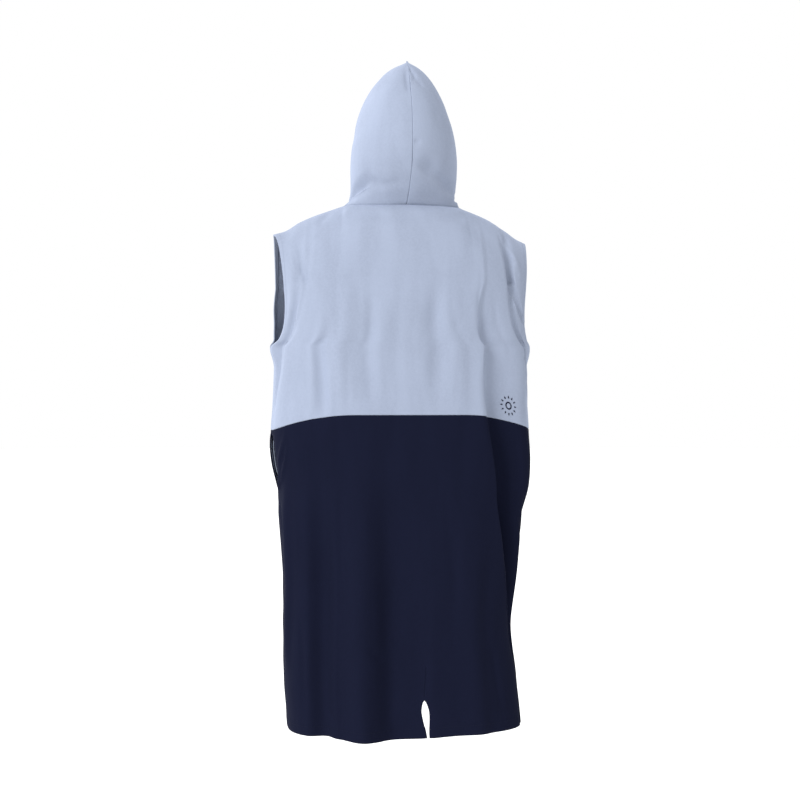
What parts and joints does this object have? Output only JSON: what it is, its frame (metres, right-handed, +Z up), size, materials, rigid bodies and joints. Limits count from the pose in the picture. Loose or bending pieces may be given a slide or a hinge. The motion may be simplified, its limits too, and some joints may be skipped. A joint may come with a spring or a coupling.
{
  "type": "hooded bath poncho",
  "caption": "Sleeveless hooded towelling poncho, hood up and filled out as worn, pale blue above dark blue, with side-seam pockets and a vent at the back hem.",
  "frame": {"origin": "middle of the neck opening, level with the points where the shoulder seams meet the neck, where the wearer's shoulders carry the garment", "axes": "+Z up, +Y to the garment's front, +X to the wearer's right"},
  "size_m": [0.5374, 0.2983, 1.3658],
  "materials": {
    "pale_towelling": "matt velour outside, looped inside",
    "dark_towelling": "matt velour outside, looped inside",
    "pale_pocket": "matt, thin"
  },
  "bodies": {
    "root": {"back_upper": "pale_towelling", "front_upper": "pale_towelling", "hood_left": "pale_towelling", "hood_right": "pale_towelling", "back_lower": "dark_towelling", "front_lower": "dark_towelling", "pocket_bag_left": "pale_pocket", "pocket_bag_right": "pale_pocket"}
  },
  "joints": []
}
